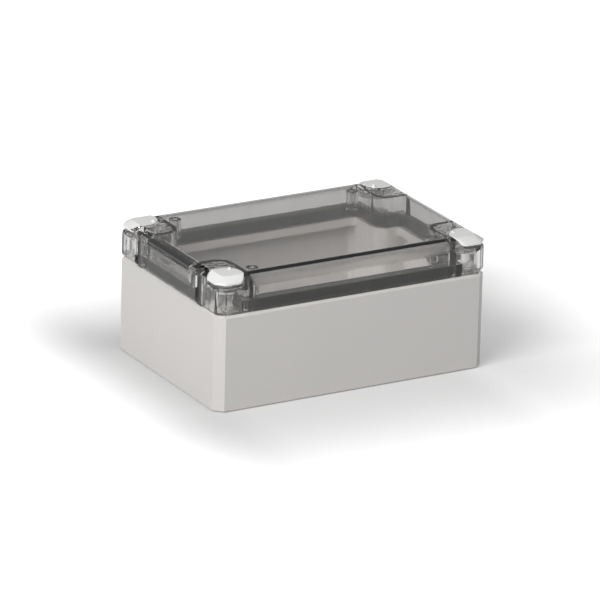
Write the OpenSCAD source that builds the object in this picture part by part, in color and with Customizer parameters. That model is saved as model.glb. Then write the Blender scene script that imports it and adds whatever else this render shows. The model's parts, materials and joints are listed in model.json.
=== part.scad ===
// Hinged polycarbonate enclosure: grey base, clear lid on a hinge rod,
// four faceted quarter-turn closures. Millimetres, +Z up, origin at the
// centre of the underside. The hinge runs along the left (-X) short side.

/* [Box] */
// Length of the box, left to right
body_l = 175; // [160:1:240]
// Width of the box, front to back
body_w = 120; // [112:1:180]
// Height of the base, up to the rim
base_h = 57; // [50:1:120]
// Height of the lid above the base rim, up to its flat top
lid_h = 22.4; // [22:0.2:30]
// Gap between base rim and lid edge when the lid is closed
seam_gap = 0.3; // [0.3:0.05:0.5]
// Flat cut on the four upright corners
corner_cut = 5; // [4:0.25:6]

/* [Walls] */
// Thickness of the outer walls of base and lid
wall = 3; // [2.5:0.1:3.2]
// Thickness of the base floor
floor_t = 3; // [2.5:0.1:5]
// Thickness of the clear top plate
top_t = 3.4; // [3:0.1:4]
// Radius of the lid's rounded top edge along the long sides
edge_r = 8.5; // [7.5:0.25:9]
// Radius of the lid's rounded top edge opposite the hinge
edge_end_r = 6.5; // [5.5:0.25:7]
// Width of the lid top's sloping edge along the hinge side
slope_w = 4; // [3.6:0.1:4.4]
// Drop of that sloping edge
slope_h = 2.7; // [2.4:0.1:2.9]
// Width of the bevel under the lid's outer edge
heel_w = 1.4; // [1:0.1:1.8]
// Height of the bevel under the lid's outer edge
heel_h = 2; // [1.6:0.1:2.4]
// Small bevel on the base's outer edges
edge_bevel = 1; // [0.6:0.1:1.4]
// Depth of the stiff flange round the base rim
rim_h = 5; // [4:0.5:7]
// How far the rim flange stays back from the lid's sealing skirt
rim_step = 0.5; // [0.3:0.1:0.8]

/* [Seal] */
// Distance from the outer faces to the middle of the gasket
seal_inset = 5.25; // [5.25:0.05:5.5]
// Width of the gasket
gasket_w = 4.4; // [3.6:0.1:4.4]
// Height of the gasket
gasket_h = 7; // [6:0.1:7.4]
// Gasket to base rim, when closed
gasket_gap = 0.2; // [0.2:0.02:0.28]
// Side clearance of the gasket in its groove
groove_clear = 0.05; // [0.02:0.01:0.1]
// Thickness of the ribs beside and above the groove
rib_t = 1.5; // [1.3:0.1:1.8]
// Width of a corner tower along the box, to the middle of the gasket
tower_l = 19.6; // [19:0.1:21]
// Depth of a corner tower across the box, to the middle of the gasket
tower_w = 31.5; // [31:0.1:33]
// Radius of the gasket's inward bend at a tower
bend_in = 6; // [5.5:0.25:7]
// Radius of the gasket's outward bends beside a tower
bend_out = 6.5; // [6:0.25:7.5]

/* [Hinge] */
// Radius of the hinge rod between its shoulders
rod_r = 1.9; // [1.8:0.05:2]
// Radius of the rod's turned-down ends
journal_r = 1; // [0.8:0.05:1.1]
// Distance of the rod's axis from the left face
hinge_inset = 2.2; // [2.15:0.05:2.4]
// Depth of the rod's axis below the flat top
hinge_drop = 3.4; // [3.2:0.05:3.6]
// Radial play of the lid on the rod
rod_play = 0.05; // [0.03:0.01:0.1]
// Radial fit of the rod's ends in the arms and clips
journal_fit = 0.02; // [0.01:0.01:0.05]
// Thickness of each hinge arm along the rod
arm_t = 4.8; // [4:0.2:5.2]
// Width of each hinge arm's post
arm_w = 4; // [3.6:0.1:4.2]
// How far the post's middle lies inside the rod's axis
arm_offset = 1.1; // [1:0.05:1.2]
// Depth of the arm's post in the base
arm_depth = 16; // [10:0.5:18]
// Clearance of the post in its socket
socket_clear = 0.1; // [0.05:0.01:0.2]
// Side gap between a hinge arm and the lid
arm_gap = 0.3; // [0.3:0.05:0.5]
// Thickness of the clips on the rod's ends
rod_clip_t = 1.4; // [1:0.1:1.7]
// Outer radius of the clips on the rod's ends
rod_clip_r = 1.8; // [1.6:0.05:1.9]
// Open space between the rod and its rebate in the lid's edge
rebate_clear = 0.35; // [0.3:0.05:0.5]
// Wall of the lid behind and under the rebate
bar_wall = 2; // [1.8:0.1:2.6]
// Depth of the lip that guards the rod, below the rod's axis
lip_drop = 1.8; // [1.6:0.05:1.9]
// End play of the lid between the rod's shoulders
rod_end_play = 0.2; // [0.1:0.05:0.3]

/* [Closures] */
// Distance of each closure's axis from the two outer faces
lock_inset = 9; // [9:0.1:9.2]
// Radius of the closure cap
cap_r = 10.2; // [9.9:0.05:10.3]
// Thickness of the cap
cap_t = 4; // [3.6:0.1:4.4]
// How far the cap's flat top stands above the lid
cap_rise = 0.2; // [0.1:0.1:0.5]
// Width of the facets round the cap's outer side
cap_slope_w = 4.8; // [4:0.1:5.4]
// Drop of those facets
cap_slope_h = 3; // [2.4:0.1:3.1]
// Radius of the flange under the cap
flange_r = 8.6; // [8:0.1:8.8]
// Thickness of the flange under the cap
flange_t = 2.1; // [1.6:0.1:2.4]
// Radius of the closure shank
shank_r = 3.75; // [3.4:0.05:4]
// Height above the base rim at which the full shank ends
shank_lift = 2.5; // [1:0.25:4]
// Radius of the neck that carries the lug
neck_r = 1.8; // [1.5:0.1:1.9]
// Thickness of the plate that the closure turns in
seat_t = 2.5; // [2:0.1:3]
// Radial play of cap and shank in the lid
lock_play = 0.1; // [0.05:0.01:0.1]
// Gap between the cap's rim and its recess
cap_gap = 0.3; // [0.3:0.05:0.5]
// End play of a closure under its flange
end_play = 0.1; // [0.1:0.02:0.2]
// Length of the locking lug
lug_l = 9; // [8:0.2:9.4]
// Width of the locking lug
lug_w = 3.6; // [3:0.1:3.8]
// Height of the locking lug
lug_h = 3.2; // [2.5:0.1:3.6]
// Thickness of the ledge that the lug turns under
ledge_t = 2.8; // [2.4:0.1:3.2]
// Room that the lug needs as the lid swings up
swing_room = 1.7; // [1.6:0.1:2]
// Gap between the lug and its chamber
lug_gap = 0.5; // [0.4:0.05:0.8]
// Extra radius of the chamber that the lug turns in
lug_swing = 0.4; // [0.2:0.1:0.6]
// Thickness of the spring clip that holds a closure in the lid
clip_t = 1.2; // [1:0.1:1.4]
// Outer radius of that spring clip
clip_r = 5.6; // [5.2:0.1:6]
// Depth of the clip's groove in the shank
clip_groove = 0.55; // [0.4:0.05:0.8]
// Play of the clip in its groove
clip_play = 0.05; // [0.02:0.01:0.1]
// Width of the clip's mouth, as a share of its bore
clip_mouth = 0.7; // [0.5:0.05:0.8]
// Height of the pointer on each cap
pip_h = 1; // [0.6:0.1:1.2]
// Length of the pointer's foot
pip_l = 2.8; // [2:0.1:3.4]
// Width of the pointer
pip_w = 1.6; // [1:0.1:2.4]
// Distance of the pointer's middle from the cap's edge
pip_inset = 2.2; // [1.8:0.1:3]

/* [Fixings] */
// Radius of the wall fixing holes
fix_r = 2.3; // [2:0.1:2.6]
// Distance of the wall fixings from the short faces
fix_inset_x = 13; // [12.5:0.25:14]
// Distance of the wall fixings from the long faces
fix_inset_y = 18.5; // [18:0.25:20]
// Wall of the tube round a wall fixing hole
fix_wall = 2.5; // [2:0.1:3]
// Radius of the pilot holes in the bosses
pilot_r = 1.5; // [1.2:0.1:1.8]
// Radius of the floor bosses
boss_r = 3.75; // [3.4:0.05:5]
// Height of the floor bosses above the floor
boss_h = 5; // [3:0.5:12]
// Spacing of the floor bosses along the box
boss_span_x = 110; // [90:1:116]
// Spacing of the floor bosses across the box
boss_span_y = 72; // [50:1:80]
// Radius of the lid's hanging bosses
peg_r = 3.5; // [3:0.1:3.75]
// Length of the lid's hanging bosses
peg_h = 11; // [6:0.5:11.5]
// Distance of the lid bosses from the short faces
peg_inset_x = 29; // [28.5:0.25:34]
// Distance of the lid bosses from the long faces
peg_inset_y = 14.5; // [13.5:0.25:20]

/* [Hidden] */

$fn = 64;
over = 1;                                   // cutters run this far past a face
bend_steps = 6;                             // facets in each bend of the seal line

// Heights
lid_z = base_h + seam_gap;                  // underside of the lid
top_z = base_h + lid_h;                     // flat top
ceiling_z = top_z - top_t;                  // underside of the top plate
groove_z = base_h + gasket_gap + gasket_h;  // roof of the gasket groove
skirt_z = groove_z + rib_t;                 // top of the thick sealing skirt

// Seal line: half sizes of the closed path in the middle of the gasket
seal_x = body_l / 2 - seal_inset;
seal_y = body_w / 2 - seal_inset;
notch_x = body_l / 2 - tower_l;
notch_y = body_w / 2 - tower_w;
groove_half = gasket_w / 2 + groove_clear;
skirt_half = groove_half + rib_t;           // half of the sealing skirt
rim_half = skirt_half - rim_step;           // inner edge of the base rim

// Hinge
hinge_x = -body_l / 2 + hinge_inset;
hinge_z = top_z - hinge_drop;
rebate_r = rod_r + rebate_clear;
bar_in = hinge_inset + rebate_r + bar_wall; // inner side of the bar, from the face
bar_z = hinge_z - rebate_r - bar_wall;      // underside of the bar
rebate_half = notch_y - skirt_half;         // half length of the rebate
window_y0 = notch_y + skirt_half + arm_gap; // inner side of an arm window
arm_y0 = window_y0 + arm_gap;               // inner side of a hinge arm
arm_y1 = arm_y0 + arm_t;
rod_half = arm_y1 + rod_clip_t + arm_gap / 2; // half length of the rod
window_y1 = rod_half + arm_gap;
window_in = hinge_inset + arm_offset + arm_w / 2 + arm_gap; // depth of the windows, from the face
shoulder_y = rebate_half - rod_end_play;    // end of the thick part of the rod

// Closures
lock_x = body_l / 2 - lock_inset;
lock_y = body_w / 2 - lock_inset;
cap_z = top_z - cap_t;                      // underside of the cap
flange_z = cap_z - flange_t;                // underside of the flange
seat_z = flange_z - end_play;               // floor of the cap recess
recess_r = cap_r + cap_gap;
cup_z = seat_z - seat_t;                    // underside of the seat plate
clip_z = cup_z - end_play - clip_t;         // underside of the spring clip
shank_end = base_h + shank_lift;            // lower end of the full shank
ledge_z = base_h - ledge_t;
lug_top = ledge_z - lug_gap * 2;
lug_z = lug_top - lug_h;
chamber_r = lug_l / 2 + lug_gap + lug_swing;
chamber_z = lug_z - lug_gap * 2;
core_z = base_h - arm_depth - wall;         // ceiling of the pockets under the pillars

// Puts a part made for the right back corner at corner [sx, sy]
module at_corner(sx, sy) {
    mirror([sx < 0 ? 1 : 0, 0, 0]) mirror([0, sy < 0 ? 1 : 0, 0]) children();
}

module at_all_corners() {
    for (sx = [-1, 1], sy = [-1, 1]) at_corner(sx, sy) children();
}

// Rounds the corners of a path whose sides all run along X or Y.
// Each corner is [x, y, radius].
function toward(p, q) = let (d = [q[0] - p[0], q[1] - p[1]]) d / norm(d);
function rounded_path(c) = [
    for (i = [0 : len(c) - 1])
        let (p = c[i],
             u = toward(p, c[(i + len(c) - 1) % len(c)]),
             v = toward(p, c[(i + 1) % len(c)]),
             r = p[2],
             mid = [p[0], p[1]] + r * u + r * v)
        for (k = [0 : r > 0 ? bend_steps : 0])
            let (t = 90 * k / bend_steps)
            r > 0 ? mid - r * (v * cos(t) + u * sin(t)) : [p[0], p[1]]
];

// Closed path with a notch at each corner: hx, hy are the half sizes, nx, ny the
// half sizes between the notches.
function notched(hx, hy, nx, ny, r_end, r_notch, r_side) = [
    [hx, ny, r_end], [nx, ny, r_notch], [nx, hy, r_side],
    [-nx, hy, r_side], [-nx, ny, r_notch], [-hx, ny, r_end],
    [-hx, -ny, r_end], [-nx, -ny, r_notch], [-nx, -hy, r_side],
    [nx, -hy, r_side], [nx, -ny, r_notch], [hx, -ny, r_end]
];

// The seal line, moved d towards the middle of the box
module seal_area(d) {
    polygon(rounded_path(notched(seal_x - d, seal_y - d, notch_x - d, notch_y - d,
        bend_out - d, bend_in + d, bend_out - d)));
}

// The room between the outer walls and the corner towers, d inside the seal line there
module wide_area(d) {
    polygon(rounded_path(notched(body_l / 2 - wall, body_w / 2 - wall, notch_x - d, notch_y - d,
        wall, bend_in + d, wall)));
}

// The inside of one corner tower: what lies outside the seal line, d inside it
module tower_area(d) {
    difference() {
        chamfered_plan(wall);
        polygon(rounded_path(notched(body_l, body_w, notch_x - d, notch_y - d, 0, bend_in + d, 0)));
    }
}

// Plan of the box with its cut corners, moved in by d
module chamfered_plan(d) {
    x = body_l / 2 - d;
    y = body_w / 2 - d;
    c = corner_cut - d * (2 - sqrt(2));
    polygon([[x, y - c], [x - c, y], [c - x, y], [-x, y - c],
        [-x, c - y], [c - x, -y], [x - c, -y], [x, c - y]]);
}

// Upright section, half wide, with bevels [width, height] at its top and bottom
// edges. A third value is the radius that rounds a top edge instead. The edge on
// the +x side is first, the other one top_b.
module edged_section(half, z0, z1, top, top_b, bottom) {
    polygon([[half, z0 + bottom[1]], [half, z1 - top[1]], [half - top[0], z1],
        [top_b[0] - half, z1], [-half, z1 - top_b[1]], [-half, z0 + bottom[1]],
        [bottom[0] - half, z0], [half - bottom[0], z0]]);
    if (len(top) > 2) translate([half - top[2], z1 - top[2]]) circle(top[2]);
    if (len(top_b) > 2) translate([top_b[2] - half, z1 - top_b[2]]) circle(top_b[2]);
}

// Box with cut corners, all its faces moved in by d. The top edges of its long
// sides, right side and left side may differ; the corners are as the long sides.
module edged_box(z0, z1, top, right, left, bottom, d = 0) {
    reach = body_l + body_w;
    diagonal = (body_l / 2 + body_w / 2 - corner_cut) / sqrt(2);
    // [direction of the faces' normals, distance of the faces from the middle, top edges]
    sides = [[0, body_l / 2, right, left], [90, body_w / 2, top, top],
        [45, diagonal, top, top], [-45, diagonal, top, top]];
    intersection_for (s = sides)
        rotate([0, 0, s[0]]) rotate([90, 0, 0])
            linear_extrude(reach, center = true)
                edged_section(s[1] - d, z0, z1, s[2], s[3], bottom);
}

// The same with one bevel round the top
module bevelled_box(z0, z1, top, bottom, d = 0) {
    edged_box(z0, z1, top, top, top, bottom, d);
}

module lid_block() {
    edged_box(lid_z, top_z, [edge_r, edge_r, edge_r], [edge_end_r, edge_end_r, edge_end_r],
        [slope_w, slope_h], [heel_w, heel_h]);
}

// The room inside the lid's walls, rounded in step with the outside
module lid_room() {
    inner_r = edge_r - (wall + top_t) / 2;
    inner_end_r = edge_end_r - (wall + top_t) / 2;
    edged_box(lid_z - over, ceiling_z, [inner_r, inner_r, inner_r],
        [inner_end_r, inner_end_r, inner_end_r], [0, 0], [0, 0], wall);
}

module slab(z0, z1) {
    translate([0, 0, z0]) linear_extrude(z1 - z0) children();
}

// ---- Base ----

// Socket and keyway that a closure's lug turns in
module lug_chamber() {
    translate([lock_x, lock_y, 0]) {
        slab(chamber_z, ledge_z) circle(chamber_r);
        slab(ledge_z - over, base_h + over)
            translate([-lug_w / 2 - lug_gap, -lug_l / 2 - lug_gap])
                square([lug_w + lug_gap + swing_room, lug_l + 2 * lug_gap]);
    }
}

module arm_post(grow, z0, z1) {
    translate([hinge_x + arm_offset - arm_w / 2 - grow, arm_y0 - grow, z0])
        cube([arm_w + 2 * grow, arm_t + 2 * grow, z1 - z0]);
}

module base_shell() {
    fix_x = body_l / 2 - fix_inset_x;
    fix_y = body_w / 2 - fix_inset_y;
    color([0.80, 0.80, 0.79])
    difference() {
        union() {
            difference() {
                bevelled_box(0, base_h, [edge_bevel, edge_bevel], [edge_bevel, edge_bevel]);
                slab(base_h - rim_h - over, base_h + over) seal_area(rim_half);
                slab(floor_t, base_h - rim_h) wide_area(rim_half);
            }
            at_all_corners()
                translate([boss_span_x / 2, boss_span_y / 2, floor_t / 2])
                    cylinder(h = floor_t / 2 + boss_h, r = boss_r);
        }
        at_all_corners() {
            translate([boss_span_x / 2, boss_span_y / 2, floor_t])
                cylinder(h = boss_h + over, r = pilot_r);
            translate([fix_x, fix_y, -over])
                cylinder(h = base_h + 2 * over, r = fix_r);
        }
        // pockets that lighten the pillars from below, round the fixing tubes
        slab(-over, core_z) difference() {
            tower_area(rim_half - wall);
            at_all_corners() translate([fix_x, fix_y]) circle(fix_r + fix_wall);
        }
        for (sy = [0, 1]) mirror([0, sy, 0]) {
            lug_chamber();
            arm_post(socket_clear, base_h - arm_depth - socket_clear, base_h + over);
        }
    }
}

// ---- Lid ----

module lid_shell() {
    peg_x = body_l / 2 - peg_inset_x;
    peg_y = body_w / 2 - peg_inset_y;
    color([0.72, 0.71, 0.70, 0.35])
    difference() {
        union() {
            difference() {
                lid_block();
                slab(lid_z - over, skirt_z) seal_area(skirt_half);
                slab(lid_z - over, skirt_z) tower_area(-skirt_half);
                intersection() {
                    lid_room();
                    slab(skirt_z - over, ceiling_z) {
                        wide_area(skirt_half);
                        tower_area(skirt_half - wall);
                    }
                }
            }
            // bar along the hinge side: rebate in the middle, bearings at the ends
            intersection() {
                lid_block();
                translate([-body_l / 2, -window_y0, bar_z])
                    cube([bar_in, 2 * window_y0, top_z - bar_z]);
            }
            // cups that carry the closures
            intersection() {
                lid_block();
                at_all_corners()
                    translate([lock_x, lock_y, cup_z])
                        cylinder(h = top_z - cup_z, r = recess_r + wall / 2);
            }
            at_all_corners()
                translate([peg_x, peg_y, ceiling_z - peg_h])
                    cylinder(h = peg_h + top_t / 2, r = peg_r);
        }
        // gasket groove
        slab(lid_z - over, groove_z) difference() {
            seal_area(-groove_half);
            seal_area(groove_half);
        }
        // rebate for the rod, open above and to the left above its lip
        translate([hinge_x, 0, hinge_z]) rotate([90, 0, 0]) {
            cylinder(h = 2 * rebate_half, r = rebate_r, center = true);
            linear_extrude(2 * rebate_half, center = true) {
                translate([-body_l, 0]) square([body_l + rebate_r, hinge_drop + over]);
                translate([-body_l, -lip_drop]) square([body_l, lip_drop + over]);
            }
        }
        // bearings for the rod's thin ends
        translate([hinge_x, 0, hinge_z]) rotate([90, 0, 0])
            cylinder(h = 2 * window_y0 + 2 * over, r = journal_r + rod_play, center = true);
        // windows that the hinge arms swing through
        for (sy = [0, 1]) mirror([0, sy, 0])
            translate([-body_l / 2 - over, window_y0, lid_z - over])
                cube([window_in + over, window_y1 - window_y0, top_z - lid_z + 2 * over]);
        at_all_corners() {
            translate([lock_x, lock_y, seat_z])
                cylinder(h = top_z - seat_z + over, r = recess_r);
            translate([lock_x, lock_y, cup_z - over])
                cylinder(h = seat_t + 2 * over, r = shank_r + lock_play);
            translate([peg_x, peg_y, ceiling_z - peg_h - over])
                cylinder(h = peg_h + over, r = pilot_r);
        }
    }
}

module lid_gasket() {
    color([0.13, 0.13, 0.13])
    slab(base_h + gasket_gap, base_h + gasket_gap + gasket_h) difference() {
        seal_area(-gasket_w / 2);
        seal_area(gasket_w / 2);
    }
}

// ---- Hinge ----

module hinge_rod() {
    color([0.16, 0.16, 0.17])
    translate([hinge_x, 0, hinge_z]) rotate([90, 0, 0]) {
        cylinder(h = 2 * shoulder_y, r = rod_r, center = true);
        cylinder(h = 2 * rod_half, r = journal_r, center = true);
    }
}

// Post with an eye on top for the rod's end; side 1 is the back one
module hinge_arm(side) {
    color([0.17, 0.17, 0.17])
    mirror([0, side == 1 ? 0 : 1, 0])
    difference() {
        union() {
            arm_post(0, base_h - arm_depth, hinge_z);
            translate([hinge_x, arm_y1, hinge_z]) rotate([90, 0, 0]) cylinder(h = arm_t, r = rod_r);
        }
        translate([hinge_x, arm_y1 + over, hinge_z]) rotate([90, 0, 0])
            cylinder(h = arm_t + 2 * over, r = journal_r + journal_fit);
    }
}

// Push-on ring that keeps the rod in its arms
module rod_clip(side) {
    color([0.70, 0.71, 0.72])
    mirror([0, side == 1 ? 0 : 1, 0])
    translate([hinge_x, arm_y1 + rod_clip_t, hinge_z]) rotate([90, 0, 0])
        difference() {
            cylinder(h = rod_clip_t, r = rod_clip_r);
            translate([0, 0, -over]) cylinder(h = rod_clip_t + 2 * over, r = journal_r + journal_fit);
        }
}

// ---- Closures ----

// Faceted white cap: its outer facets go round the lid's corner
module closure_cap() {
    color([0.95, 0.95, 0.94]) {
        difference() {
            intersection() {
                bevelled_box(lid_z, top_z + cap_rise, [cap_slope_w, cap_slope_h], [heel_w, heel_h], lock_play);
                translate([lock_x, lock_y, cap_z]) cylinder(h = cap_t + cap_rise, r = cap_r);
            }
            translate([lock_x, lock_y, cap_z - over]) cylinder(h = over + cap_t / 2, r = neck_r);
        }
        // pointer towards the middle of the box
        translate([lock_x, lock_y, top_z + cap_rise]) rotate([0, 0, 225])
            translate([cap_r - pip_inset, 0, 0]) rotate([90, 0, 0])
                linear_extrude(pip_w, center = true)
                    polygon([[-pip_l / 2, -pip_h], [pip_l / 2, -pip_h], [pip_l / 2, 0],
                        [pip_l / 5, pip_h], [0, pip_h], [-pip_l / 2, 0]]);
    }
}

// Turned-down peg in the cap, flange, shank with a groove, neck and lug
module closure_spindle(locks) {
    foot = locks ? lug_z : lid_z + end_play;
    color([0.86, 0.86, 0.85])
    translate([lock_x, lock_y, 0]) difference() {
        union() {
            translate([0, 0, cap_z]) cylinder(h = cap_t / 2, r = neck_r);
            translate([0, 0, flange_z]) cylinder(h = flange_t, r = flange_r);
            translate([0, 0, shank_end]) cylinder(h = flange_z - shank_end, r = shank_r);
            translate([0, 0, foot]) cylinder(h = shank_end - foot, r = neck_r);
            if (locks)
                translate([-lug_w / 2, -lug_l / 2, lug_z]) cube([lug_w, lug_l, lug_h]);
        }
        translate([0, 0, clip_z - clip_play]) difference() {
            cylinder(h = clip_t + 2 * clip_play, r = shank_r + over);
            translate([0, 0, -over]) cylinder(h = clip_t + 2 * over, r = shank_r - clip_groove);
        }
    }
}

// Open spring ring in the shank's groove
module lock_clip() {
    inner = shank_r - clip_groove + clip_play;
    mouth = 2 * inner * clip_mouth;
    color([0.72, 0.73, 0.75])
    translate([lock_x, lock_y, clip_z]) difference() {
        cylinder(h = clip_t, r = clip_r);
        translate([0, 0, -over]) cylinder(h = clip_t + 2 * over, r = inner);
        translate([0, -mouth / 2, -over]) cube([clip_r + over, mouth, clip_t + 2 * over]);
    }
}

base_shell();
lid_shell();
lid_gasket();
hinge_rod();
hinge_arm(-1);  // hinge_arm_front
hinge_arm(1);  // hinge_arm_back
rod_clip(-1);  // rod_clip_front
rod_clip(1);  // rod_clip_back
at_corner(-1, -1) closure_cap();  // cap_front_left
at_corner(1, -1) closure_cap();  // cap_front_right
at_corner(-1, 1) closure_cap();  // cap_back_left
at_corner(1, 1) closure_cap();  // cap_back_right
at_corner(-1, -1) closure_spindle(false);  // spindle_front_left
at_corner(1, -1) closure_spindle(true);  // spindle_front_right
at_corner(-1, 1) closure_spindle(false);  // spindle_back_left
at_corner(1, 1) closure_spindle(true);  // spindle_back_right
at_corner(-1, -1) lock_clip();  // lock_clip_front_left
at_corner(1, -1) lock_clip();  // lock_clip_front_right
at_corner(-1, 1) lock_clip();  // lock_clip_back_left
at_corner(1, 1) lock_clip();  // lock_clip_back_right
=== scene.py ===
import json
import math
import bmesh
import bpy
from mathutils import Matrix, Vector


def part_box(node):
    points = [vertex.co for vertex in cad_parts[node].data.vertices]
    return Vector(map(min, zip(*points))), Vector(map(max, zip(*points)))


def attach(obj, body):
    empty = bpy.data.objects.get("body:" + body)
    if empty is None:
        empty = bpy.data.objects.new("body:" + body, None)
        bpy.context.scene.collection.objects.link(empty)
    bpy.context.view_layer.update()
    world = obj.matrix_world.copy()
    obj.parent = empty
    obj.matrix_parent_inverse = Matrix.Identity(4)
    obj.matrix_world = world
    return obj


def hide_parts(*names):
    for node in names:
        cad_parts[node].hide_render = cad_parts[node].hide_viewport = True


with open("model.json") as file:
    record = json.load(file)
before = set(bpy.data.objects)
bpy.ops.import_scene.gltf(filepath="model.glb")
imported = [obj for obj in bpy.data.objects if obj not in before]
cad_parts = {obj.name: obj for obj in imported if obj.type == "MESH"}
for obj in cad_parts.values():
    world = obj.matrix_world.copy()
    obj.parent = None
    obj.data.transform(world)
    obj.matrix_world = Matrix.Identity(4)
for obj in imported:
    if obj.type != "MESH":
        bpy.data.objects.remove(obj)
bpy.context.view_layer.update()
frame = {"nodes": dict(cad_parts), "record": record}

BODIES = frame["record"]["behaviour"]["bodies"]
BODY_OF = {node: body for body, nodes in BODIES.items() for node in nodes}


# ---------------------------------------------------------------- base shell
# The lower half: one moulding in light grey plastic, with a fine grained skin.
# Its corner pillars take the wall screws and the hinge arms, and on the right
# the lugs of the closures.

BASE_GREY = (0.430, 0.417, 0.406)
BASE_EDGE = 0.0004
POLYCARBONATE_IOR = 1.585


def moulding(node, name, edge, segments=3):
    """The CAD node's own mesh, merged, with its sharp edges rounded as a mould leaves them."""
    mesh = frame["nodes"][node].data.copy()
    bm = bmesh.new()
    bm.from_mesh(mesh)
    bmesh.ops.remove_doubles(bm, verts=bm.verts, dist=1e-6)
    bmesh.ops.dissolve_limit(bm, angle_limit=math.radians(0.5), verts=bm.verts, edges=bm.edges)
    bm.to_mesh(mesh)
    bm.free()
    mesh.name = name
    mesh.materials.clear()
    piece = bpy.data.objects.new(name, mesh)
    bpy.context.scene.collection.objects.link(piece)
    bevel = piece.modifiers.new("moulded edges", "BEVEL")
    bevel.width = edge
    bevel.segments = segments
    bevel.limit_method = "ANGLE"
    bevel.angle_limit = math.radians(32)
    bevel.use_clamp_overlap = True
    bevel.miter_outer = "MITER_ARC"
    applied(piece, name)
    piece.data.shade_smooth()
    piece.data.set_sharp_from_angle(angle=math.radians(28))
    flat = piece.modifiers.new("true flats", "WEIGHTED_NORMAL")
    flat.keep_sharp = True
    flat.weight = 100
    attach(piece, BODY_OF[node])
    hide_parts(node)
    return piece


def applied(piece, name):
    """Turns what the piece's modifiers make into its own plain mesh."""
    before = piece.data
    bpy.context.view_layer.update()
    done = bpy.data.meshes.new_from_object(piece.evaluated_get(bpy.context.evaluated_depsgraph_get()))
    piece.modifiers.clear()
    piece.data = done
    done.name = name
    bpy.data.meshes.remove(before)


def finish_with(piece, material):
    piece.data.materials.clear()
    piece.data.materials.append(material)


def feed(node, values):
    """Sets the node's inputs, each to a value or to another node's output."""
    for key, value in values.items():
        if isinstance(value, bpy.types.NodeSocket):
            node.id_data.links.new(value, node.inputs[key])
        else:
            node.inputs[key].default_value = value


def node_adder(tree):
    """A function that adds a node to this tree, with its settings and inputs."""
    def add(kind, values=None, **settings):
        node = tree.nodes.new(kind)
        for key, value in settings.items():
            setattr(node, key, value)
        feed(node, values or {})
        return node

    return add


def calc(add, operation, *values, clamp=False):
    """The result of one Math node."""
    return add("ShaderNodeMath", dict(enumerate(values)), operation=operation, use_clamp=clamp).outputs[0]


def ranged(add, value, source, target, ease="LINEAR"):
    """The value, carried from one range to another and held at its ends."""
    ends = {"From Min": source[0], "From Max": source[1], "To Min": target[0], "To Max": target[1]}
    return add("ShaderNodeMapRange", {"Value": value, **ends}, interpolation_type=ease).outputs[0]


def blend(add, factor, first, second):
    """A colour between two others."""
    mix = add("ShaderNodeMix", {"Factor": factor, "A": first, "B": second}, data_type="RGBA")
    return mix.outputs["Result"]


def new_material(name):
    """A material, its Principled shader, and the function that adds nodes to it."""
    material = bpy.data.materials.new(name)
    material.use_nodes = True
    tree = material.node_tree
    return material, tree.nodes["Principled BSDF"], node_adder(tree)


def node_tree(kind, name, inputs, outputs):
    """An empty node group with named inputs (name, socket type, default) and outputs."""
    group = bpy.data.node_groups.new(name, kind)
    for title, socket_type, default in inputs:
        socket = group.interface.new_socket(title, in_out="INPUT", socket_type=socket_type)
        if default is not None:
            socket.default_value = default
    for title, socket_type in outputs:
        group.interface.new_socket(title, in_out="OUTPUT", socket_type=socket_type)
    add = node_adder(group)
    return group, add, add("NodeGroupInput").outputs


def skin_group():
    """Shared moulded skin: fine grain, slow cloudiness and a few hairline scuffs."""
    group, add, given = node_tree("ShaderNodeTree", "moulded skin", [
        ("Grain per mm", "NodeSocketFloat", 7.0), ("Cloud per mm", "NodeSocketFloat", 0.03),
        ("Scuff", "NodeSocketFloat", 0.4)],
        [("Height", "NodeSocketFloat"), ("Cloud", "NodeSocketFloat"), ("Scuffs", "NodeSocketFloat")])
    place = add("ShaderNodeTexCoord").outputs["Object"]
    mm = add("ShaderNodeVectorMath", {0: place, "Scale": 1000}, operation="SCALE").outputs[0]
    grain = add("ShaderNodeTexNoise", {"Vector": mm, "Scale": given["Grain per mm"],
                                       "Detail": 3, "Roughness": 0.6})
    cloud = add("ShaderNodeTexNoise", {"Vector": mm, "Scale": given["Cloud per mm"],
                                       "Detail": 2, "Roughness": 0.5})
    drawn = add("ShaderNodeMapping", {"Vector": mm, "Scale": (0.05, 1.4, 1.1), "Rotation": (0.3, 0.2, 0.5)})
    streak = add("ShaderNodeTexNoise", {"Vector": drawn.outputs[0], "Scale": 1.0, "Detail": 1})
    thin = ranged(add, streak.outputs["Fac"], (0.70, 0.78), (0, 1))
    add("NodeGroupOutput", {"Height": grain.outputs["Fac"], "Cloud": cloud.outputs["Fac"],
                            "Scuffs": calc(add, "MULTIPLY", thin, given["Scuff"])})
    return group


SKIN = skin_group()


def plastic(name, colour, shade, rough, bump_mm, grain=7.0, scuff=0.4, ior=POLYCARBONATE_IOR, clear=0.0):
    """Moulded plastic: colour a little uneven, roughness from grain and scuffs, fine bump."""
    material, shader, add = new_material(name)
    skin = add("ShaderNodeGroup", {"Grain per mm": grain, "Scuff": scuff}, node_tree=SKIN).outputs
    darker = (*[c * (1 - shade) for c in colour], 1)
    lighter = (*[min(1, c * (1 + shade)) for c in colour], 1)
    even = ranged(add, skin["Height"], (0.3, 0.7), rough)
    rubbed = calc(add, "MULTIPLY", skin["Scuffs"], 0.15)
    bump = add("ShaderNodeBump", {"Height": skin["Height"], "Strength": 1.0, "Distance": bump_mm / 1000})
    feed(shader, {"Base Color": blend(add, skin["Cloud"], darker, lighter),
                  "Roughness": calc(add, "SUBTRACT", even, rubbed, clamp=True),
                  "Normal": bump.outputs["Normal"], "IOR": ior, "Transmission Weight": clear})
    return material


base_grey = plastic("base grey", BASE_GREY, 0.015, (0.40, 0.52), 0.012)
base = moulding("base_shell", "base", BASE_EDGE)
finish_with(base, base_grey)


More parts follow.
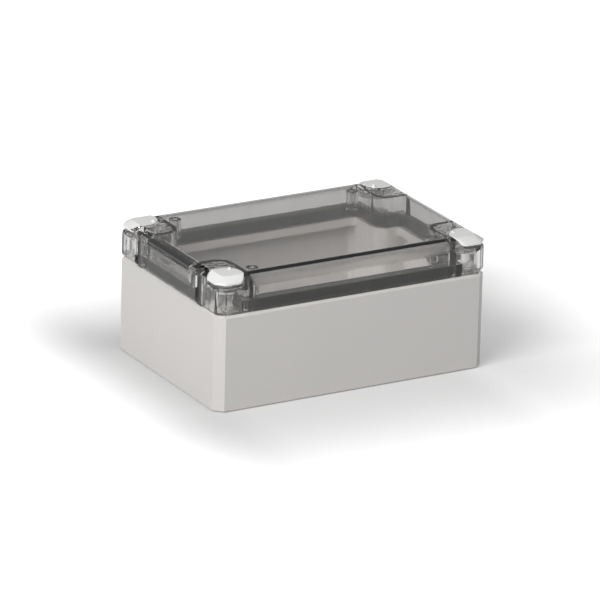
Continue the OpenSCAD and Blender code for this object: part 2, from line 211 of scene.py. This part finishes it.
# ----------------------------------------------------------------- hinge arms
# Two dark plastic posts that stand in sockets of the base's left pillars. Each
# ends in an eye that holds one end of the hinge rod.

ARM_EDGE = 0.0003

arm_dark = plastic("arm dark", (0.030, 0.028, 0.027), 0.12, (0.30, 0.42), 0.006, grain=9.0)
for side in ("front", "back"):
    arm = moulding(f"hinge_arm_{side}", f"hinge_arm_{side}_post", ARM_EDGE)
    finish_with(arm, arm_dark)


# ------------------------------------------------------------------ hinge rod
# A dark rod with a soft shine, turned down at both ends. The lid's bearings
# turn on the thin ends, and a push-on steel ring holds each end in its arm.

ROD_EDGE, RING_EDGE = 0.0003, 0.00015

rod_dark = plastic("rod dark", (0.022, 0.021, 0.021), 0.1, (0.22, 0.3), 0.002, grain=12.0, scuff=0.3)
rod = moulding("hinge_rod", "rod", ROD_EDGE)
finish_with(rod, rod_dark)


def sprung_steel(name):
    """Bright rolled steel with fine drawn lines."""
    material, shader, add = new_material(name)
    place = add("ShaderNodeTexCoord").outputs["Object"]
    lay = add("ShaderNodeMapping", {"Vector": place, "Scale": (900, 900, 9000)}).outputs[0]
    drawn = add("ShaderNodeTexNoise", {"Vector": lay, "Scale": 1.0, "Detail": 3.0}).outputs["Fac"]
    bump = add("ShaderNodeBump", {"Height": drawn, "Distance": 0.000004})
    feed(shader, {"Base Color": blend(add, drawn, (0.50, 0.50, 0.51, 1), (0.66, 0.66, 0.67, 1)),
                  "Roughness": ranged(add, drawn, (0, 1), (0.2, 0.42)),
                  "Normal": bump.outputs["Normal"], "Metallic": 1.0})
    return material


spring_steel = sprung_steel("spring steel")
for side in ("front", "back"):
    ring = moulding(f"rod_clip_{side}", f"rod_ring_{side}", RING_EDGE)
    finish_with(ring, spring_steel)


# ------------------------------------------------------------------ lid shell
# The upper half: one moulding in clear polycarbonate with a faint smoke tint,
# polished inside and out, so that its walls, towers and cups show through it.

LID_EDGE = 0.0002
TOWER_START = ((0.0220, 0.0200), (0.0338, 0.0320))   # from the lid's ends and sides: where a tower fades in
REBATE_SLACK, REBATE_SKIN, REBATE_HALF_LENGTH = 0.0006, 0.0001, 0.0249
HAZE_IN, HAZE_DOWN = (0.0050, 0.0035), (0.0080, 0.0060)   # from the lid's sides and top
MATT, HAZE = 0.55, 0.34                              # added roughness


def shown_where(material, add, factor, first, second):
    """Puts the second shader in place of the first where the factor is 1."""
    mix = add("ShaderNodeMixShader", {"Fac": factor, 1: first.outputs[0], 2: second.outputs[0]})
    feed(material.node_tree.nodes["Material Output"], {"Surface": mix.outputs[0]})


def clear_polycarbonate(name):
    material, shader, add = new_material(name)
    skin = add("ShaderNodeGroup", {"Grain per mm": 0.25, "Scuff": 0.2}, node_tree=SKIN).outputs
    where = add("ShaderNodeTexCoord").outputs["Object"]
    place = add("ShaderNodeSeparateXYZ", {0: where}).outputs
    from_middle = [calc(add, "ABSOLUTE", place[axis]) for axis in "XY"]
    lid_low, lid_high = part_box("lid_shell")
    rod_low, rod_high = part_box("hinge_rod")

    # the corner towers
    starts = [ranged(add, size, [end - gap for gap in gaps], (0, 1))
              for size, end, gaps in zip(from_middle, lid_high, TOWER_START)]
    tower = calc(add, "MULTIPLY", *starts)

    # the hinge rebate, given a matt finish, which is a guess
    rebate = calc(add, "LESS_THAN", place["X"], rod_high[0] + REBATE_SLACK)
    for other in (calc(add, "GREATER_THAN", place["X"], lid_low[0] + REBATE_SKIN),
                  calc(add, "GREATER_THAN", place["Z"], rod_low[2] - REBATE_SLACK),
                  calc(add, "LESS_THAN", from_middle[1], REBATE_HALF_LENGTH)):
        rebate = calc(add, "MULTIPLY", rebate, other)

    # the rounded long edges, given a little haze, which is a guess
    outer = ranged(add, from_middle[1], [lid_high[1] - gap for gap in HAZE_IN], (0, 1))
    raised = ranged(add, place["Z"], [lid_high[2] - gap for gap in HAZE_DOWN], (0, 1))
    rim = calc(add, "MULTIPLY", outer, raised)

    # the tint is taken at every surface crossed, so where many surfaces lie close
    # together (corner towers, hinge rebate) each one takes less of it
    smoke = blend(add, skin["Cloud"], (0.800, 0.791, 0.783, 1), (0.820, 0.811, 0.803, 1))
    crowded = calc(add, "MAXIMUM", rebate, tower)
    polish = ranged(add, skin["Cloud"], (0, 1), (0.012, 0.035))
    matt = calc(add, "MULTIPLY_ADD", rebate, MATT, polish)

    # upright waviness in the towers stands in for inner ribs that can't be made out
    bump = add("ShaderNodeBump", {"Height": skin["Height"], "Distance": 0.00002, "Strength": 0.4})
    upright = add("ShaderNodeVectorMath", {0: where, 1: (1.0, 1.0, 0.16)}, operation="MULTIPLY").outputs[0]
    waves = add("ShaderNodeTexNoise", {"Vector": upright, "Scale": 330.0, "Detail": 1.0, "Roughness": 0.5})
    wavy = add("ShaderNodeBump", {"Height": waves.outputs["Fac"], "Distance": 0.00028,
                                  "Normal": bump.outputs["Normal"], "Strength": tower})
    feed(shader, {"Base Color": blend(add, crowded, smoke, (0.91, 0.905, 0.90, 1)),
                  "Roughness": calc(add, "MULTIPLY_ADD", rim, HAZE, matt),
                  "Normal": wavy.outputs["Normal"], "IOR": POLYCARBONATE_IOR, "Transmission Weight": 1.0})

    # lamps shine through the clear walls almost undimmed
    path = add("ShaderNodeLightPath")
    through = add("ShaderNodeBsdfTransparent", {"Color": (0.97, 0.965, 0.96, 1)})
    shown_where(material, add, path.outputs["Is Shadow Ray"], shader, through)
    return material


lid_clear = clear_polycarbonate("lid clear")
lid = moulding("lid_shell", "lid", LID_EDGE, segments=2)
finish_with(lid, lid_clear)


# --------------------------------------------------------------------- gasket
# A dark seal, foamed into the lid's groove, wavy round the corner towers. Its
# rounded underside faces the base's rim, close above it, when the lid is shut.

SEAL_WIDTH = 0.0044
SEAL_BITE = 0.00005       # closes the clearance on each side; goes this far into the groove's roof
SEAL_EXTRA = 0.00002      # half of it goes into each wall of the groove
SEAL_EDGE = 0.0019        # rounding of the foam's free underside
SEAL_STEP, SEAL_UNEVEN = 0.001, 0.00015
SEAL_LOWER = -0.001       # lower than this, from its mid height, the foam is uneven
TOWER_LONG, TOWER_ACROSS = 0.0196, 0.0315
BEND_IN, BEND_OUT = 0.006, 0.0065
BEND_STEPS = 12


def foam(name):
    """Dull dark foam, pitted with fine cells."""
    material, shader, add = new_material(name)
    place = add("ShaderNodeTexCoord").outputs["Object"]
    cells = add("ShaderNodeTexVoronoi", {"Vector": place, "Scale": 2600.0}).outputs["Distance"]
    slow = add("ShaderNodeTexNoise", {"Vector": place, "Scale": 120.0, "Detail": 2.0}).outputs["Fac"]
    bump = add("ShaderNodeBump", {"Height": cells, "Distance": 0.00002})
    feed(shader, {"Base Color": blend(add, slow, (0.011, 0.010, 0.009, 1), (0.019, 0.018, 0.016, 1)),
                  "Roughness": ranged(add, cells, (0, 1), (0.6, 0.85)),
                  "Normal": bump.outputs["Normal"], "Specular IOR Level": 0.25})
    return material


def seal_path():
    """The seal's middle line, once round, as (x, y) points."""
    low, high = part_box("lid_gasket")
    hx, hy = (high[0] - low[0] - SEAL_WIDTH) / 2, (high[1] - low[1] - SEAL_WIDTH) / 2
    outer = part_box("lid_shell")[1]
    nx, ny = outer[0] - TOWER_LONG, outer[1] - TOWER_ACROSS
    corners = [(hx, ny, BEND_OUT), (nx, ny, BEND_IN), (nx, hy, BEND_OUT), (-nx, hy, BEND_OUT),
               (-nx, ny, BEND_IN), (-hx, ny, BEND_OUT), (-hx, -ny, BEND_OUT), (-nx, -ny, BEND_IN),
               (-nx, -hy, BEND_OUT), (nx, -hy, BEND_OUT), (nx, -ny, BEND_IN), (hx, -ny, BEND_OUT)]
    points = []
    for i, (x, y, radius) in enumerate(corners):
        here = Vector((x, y))
        before = (Vector(corners[i - 1][:2]) - here).normalized()
        after = (Vector(corners[(i + 1) % len(corners)][:2]) - here).normalized()
        for k in range(BEND_STEPS + 1):
            t = math.pi / 2 * k / BEND_STEPS
            swing = after * math.cos(t) + before * math.sin(t)
            points.append(here + radius * (before + after) - radius * swing)
    return points


def foamed_bead():
    """Sweeps a bead with rounded lower edges along a level path; its underside is a little uneven."""
    group, add, given = node_tree("GeometryNodeTree", "foamed bead", [
        ("Path", "NodeSocketGeometry", None), ("Width", "NodeSocketFloat", 0.004),
        ("Height", "NodeSocketFloat", 0.007), ("Edge", "NodeSocketFloat", 0.001),
        ("Step", "NodeSocketFloat", 0.001), ("Uneven", "NodeSocketFloat", 0.0001),
        ("Seed", "NodeSocketFloat", 4.0), ("Material", "NodeSocketMaterial", None)],
        [("Bead", "NodeSocketGeometry")])
    path = add("GeometryNodeMeshToCurve", {"Mesh": given["Path"]})
    even = add("GeometryNodeResampleCurve", {"Curve": path.outputs[0], "Length": given["Step"]},
               mode="LENGTH")
    upright = add("GeometryNodeSetCurveNormal", {"Curve": even.outputs[0]}, mode="Z_UP")

    # the section's Y points down on the swept bead, so its lower corners are those above 0
    box = add("GeometryNodeCurvePrimitiveQuadrilateral", {"Width": given["Width"], "Height": given["Height"]})
    corner = add("ShaderNodeSeparateXYZ", {0: add("GeometryNodeInputPosition").outputs[0]})
    lower = calc(add, "GREATER_THAN", corner.outputs["Y"], 0.0)
    radius = calc(add, "MAXIMUM", calc(add, "MULTIPLY", lower, given["Edge"]), 0.0001)
    section = add("GeometryNodeFilletCurve", {"Curve": box.outputs[0], "Radius": radius, "Count": 5},
                  mode="POLY")
    sweep = add("GeometryNodeCurveToMesh", {"Curve": upright.outputs[0], "Profile Curve": section.outputs[0]})

    here = add("GeometryNodeInputPosition").outputs[0]
    wave = add("ShaderNodeTexNoise", {"Vector": here, "W": given["Seed"], "Scale": 90.0, "Detail": 1.0},
               noise_dimensions="4D")
    height = add("ShaderNodeSeparateXYZ", {0: here}).outputs["Z"]
    underside = calc(add, "LESS_THAN", height, SEAL_LOWER)
    lift = calc(add, "MULTIPLY", calc(add, "MULTIPLY", wave.outputs["Fac"], given["Uneven"]), underside)
    upward = add("ShaderNodeCombineXYZ", {"Z": lift}).outputs[0]
    moved = add("GeometryNodeSetPosition", {"Geometry": sweep.outputs[0], "Offset": upward})
    real = add("GeometryNodeRealizeInstances", {"Geometry": moved.outputs[0]})
    painted = add("GeometryNodeSetMaterial", {"Geometry": real.outputs[0], "Material": given["Material"]})
    add("NodeGroupOutput", {"Bead": painted.outputs[0]})
    return group


def grown(name, group, settings, points, edges):
    """Object made by a geometry node group from a small starting mesh, applied."""
    start = bpy.data.meshes.new(name)
    start.from_pydata([tuple(p) for p in points], list(edges), [])
    piece = bpy.data.objects.new(name, start)
    bpy.context.scene.collection.objects.link(piece)
    grow = piece.modifiers.new(group.name, "NODES")
    grow.node_group = group
    for socket in group.interface.items_tree:
        if getattr(socket, "in_out", "") == "INPUT" and socket.name in settings:
            grow[socket.identifier] = settings[socket.name]
    applied(piece, name)
    return piece


gasket_foam = foam("gasket foam")
gasket_low, gasket_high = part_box("lid_gasket")
middle = seal_path()
gasket = grown("gasket", foamed_bead(), {
    "Width": SEAL_WIDTH + 2 * SEAL_BITE + SEAL_EXTRA, "Height": gasket_high[2] - gasket_low[2] + SEAL_BITE,
    "Edge": SEAL_EDGE, "Step": SEAL_STEP, "Uneven": SEAL_UNEVEN, "Seed": 4.0, "Material": gasket_foam},
    [(x, y, 0) for x, y in middle], [(i, (i + 1) % len(middle)) for i in range(len(middle))])
gasket.data.transform(Matrix.Translation((0, 0, (gasket_low[2] + gasket_high[2] + SEAL_BITE) / 2)))
gasket.data.shade_smooth()
gasket.data.set_sharp_from_angle(angle=math.radians(50))
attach(gasket, BODY_OF["lid_gasket"])
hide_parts("lid_gasket")
finish_with(gasket, gasket_foam)


# ------------------------------------------------------------------- closures
# Four white caps in the lid's corners, each on a nearly clear plastic spindle
# that a steel ring holds in its cup.

CAP_EDGE, SPINDLE_EDGE = 0.0002, 0.00025

cap_white = plastic("cap white", (0.585, 0.585, 0.575), 0.01, (0.3, 0.4), 0.003, grain=9.0)
spindle_natural = plastic("spindle natural", (0.90, 0.89, 0.87), 0.02, (0.03, 0.06), 0.001, grain=9.0,
                          ior=1.53, clear=0.94)
for corner in ("front_left", "front_right", "back_left", "back_right"):
    cap = moulding(f"cap_{corner}", f"closure_cap_{corner}", CAP_EDGE)
    finish_with(cap, cap_white)
    spindle = moulding(f"spindle_{corner}", f"closure_spindle_{corner}", SPINDLE_EDGE)
    finish_with(spindle, spindle_natural)
    ring = moulding(f"lock_clip_{corner}", f"closure_ring_{corner}", RING_EDGE)
    finish_with(ring, spring_steel)


# --------------------------------------------------------------------- studio
# A white table with a painted shadow round the box, a broad soft lamp on the left,
# a weaker one above the front, a plain bright room, and the camera.

TABLE_REACH = 12.0
TABLE_WHITE = (0.90, 0.90, 0.90)
TABLE_GLOW = 0.34                                # only where it is seen
TABLE_MIRRORED = 0.65                            # its share of brightness in polished faces
SHADOW_FADE_LEFT, SHADOW_FADE_RIGHT = 0.085, 0.170             # how far the painted shadow round the box reaches
SHADOW_FADE_FRONT, SHADOW_FADE_BACK = 0.190, 0.150
# darkest values of the painted shadow: at the left end, the right end and the middle
SHADOW_DARKEST_LEFT, SHADOW_DARKEST_RIGHT, SHADOW_DARKEST_MIDDLE = 0.45, 0.56, 0.48
END_STARTS, END_PAST = 0.060, 0.002              # where the short sides' values come in
ROOM_LIGHT, ROOM_MIRRORED = 0.35, 0.304          # polished faces see a dimmer room
WHITE = (1, 1, 1, 1)


def painted_shadow_round_the_box(add):
    """Painted shadow on the table: brightness 1 far from the box, less close round it, least at its left end.
    """
    place = add("ShaderNodeSeparateXYZ", {0: add("ShaderNodeTexCoord").outputs["Object"]}).outputs
    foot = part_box("base_shell")[1]
    squares = []
    for axis, half, fades in (("X", foot[0], (SHADOW_FADE_LEFT, SHADOW_FADE_RIGHT)),
                              ("Y", foot[1], (SHADOW_FADE_FRONT, SHADOW_FADE_BACK))):
        past = calc(add, "SUBTRACT", calc(add, "ABSOLUTE", place[axis]), half, clamp=True)
        fade = ranged(add, place[axis], (-half, half), fades)
        squares.append(calc(add, "POWER", calc(add, "DIVIDE", past, fade), 2.0))
    distance = calc(add, "POWER", calc(add, "ADD", *squares), 0.5)
    end = ranged(add, place["X"], (-foot[0], foot[0]), (SHADOW_DARKEST_LEFT, SHADOW_DARKEST_RIGHT))
    darkest = ranged(add, calc(add, "ABSOLUTE", place["X"]), (END_STARTS, foot[0] + END_PAST),
                     (SHADOW_DARKEST_MIDDLE, end), "SMOOTHSTEP")
    return ranged(add, distance, (0, 1), (darkest, 1.0), "SMOOTHSTEP")


def studio_floor():
    mesh = bpy.data.meshes.new("table")
    far = TABLE_REACH
    mesh.from_pydata([(-far, -far, 0), (far, -far, 0), (far, far, 0), (-far, far, 0)], [], [(0, 1, 2, 3)])
    floor = bpy.data.objects.new("table", mesh)
    bpy.context.scene.collection.objects.link(floor)
    material, shader, add = new_material("table white")
    path = add("ShaderNodeLightPath").outputs
    direct = calc(add, "MAXIMUM", path["Is Camera Ray"], path["Is Transmission Ray"])
    seen = calc(add, "MAXIMUM", direct, path["Is Glossy Ray"])
    # painted shadow round the box, only for camera, transmission and glossy rays; it dims the glow too
    shade = ranged(add, seen, (0, 1), (1.0, painted_shadow_round_the_box(add)))
    mirrored = calc(add, "MULTIPLY_ADD", path["Is Glossy Ray"], TABLE_MIRRORED - 1.0, 1.0)
    shade = calc(add, "MULTIPLY", shade, mirrored)
    white = add("ShaderNodeVectorMath", {0: TABLE_WHITE, "Scale": shade}, operation="SCALE").outputs[0]
    glow = calc(add, "MULTIPLY", calc(add, "MULTIPLY", seen, TABLE_GLOW), shade)
    feed(shader, {"Base Color": white, "Roughness": 0.8, "Specular IOR Level": 0.0,
                  "Emission Color": WHITE, "Emission Strength": glow})
    face = add("ShaderNodeNewGeometry")
    shown_where(material, add, face.outputs["Backfacing"], shader, add("ShaderNodeBsdfTransparent"))
    mesh.materials.append(material)


studio_floor()

room = bpy.data.worlds.new("room")
bpy.context.scene.world = room
room.use_nodes = True
room.node_tree.nodes.clear()
add = node_adder(room.node_tree)
path = add("ShaderNodeLightPath").outputs
direct = calc(add, "MAXIMUM", path["Is Camera Ray"], path["Is Transmission Ray"])
lighting = add("ShaderNodeBackground", {"Color": WHITE, "Strength": ROOM_LIGHT})
plain = add("ShaderNodeBackground", {"Color": WHITE, "Strength": 1.0})
dim = add("ShaderNodeBackground", {"Color": WHITE, "Strength": ROOM_MIRRORED})
seen = add("ShaderNodeMixShader", {"Fac": direct, 1: lighting.outputs[0], 2: plain.outputs[0]})
mirrored = add("ShaderNodeMixShader", {"Fac": path["Is Glossy Ray"], 1: seen.outputs[0], 2: dim.outputs[0]})
add("ShaderNodeOutputWorld", {"Surface": mirrored.outputs[0]})


def soft_lamp(name, place, aim, side, power):
    lamp = bpy.data.lights.new(name, "AREA")
    lamp.shape = "RECTANGLE"
    lamp.size = side
    lamp.size_y = side
    lamp.energy = power
    obj = bpy.data.objects.new(name, lamp)
    bpy.context.scene.collection.objects.link(obj)
    obj.location = place
    obj.rotation_euler = (Vector(aim) - Vector(place)).to_track_quat("-Z", "Y").to_euler()


soft_lamp("left lamp", (-1.53, -0.68, 1.20), (0, 0, 0.04), 1.2, 42)
soft_lamp("top lamp", (0.05, -0.74, 1.93), (0, 0, 0.04), 1.1, 13)

bpy.context.scene.view_settings.view_transform = "Standard"
bpy.context.scene.cycles.transmission_bounces = 24
bpy.context.scene.cycles.max_bounces = 24

# 30 degrees round to the left, 20 degrees above the table, a long lens
turn, rise, roll = math.radians(29.94), math.radians(19.84), math.radians(1.48)
away, aside, aim_height = 3.438, -0.0007, 0.035
back = Vector((-math.sin(turn) * math.cos(rise), -math.cos(turn) * math.cos(rise), math.sin(rise)))
right = Vector((math.cos(turn), -math.sin(turn), 0))
up = back.cross(right)
aim = right * aside + Vector((0, 0, aim_height))
across = right * math.cos(roll) + up * math.sin(roll)
upright = up * math.cos(roll) - right * math.sin(roll)
lens = bpy.data.cameras.new("camera")
lens.lens, lens.sensor_width = 360, 36
lens.clip_start, lens.clip_end = 0.1, 50
camera = bpy.data.objects.new("camera", lens)
bpy.context.scene.collection.objects.link(camera)
turned = Matrix((across, upright, back)).transposed().to_4x4()
camera.matrix_world = Matrix.Translation(aim + back * away) @ turned
bpy.context.scene.camera = camera
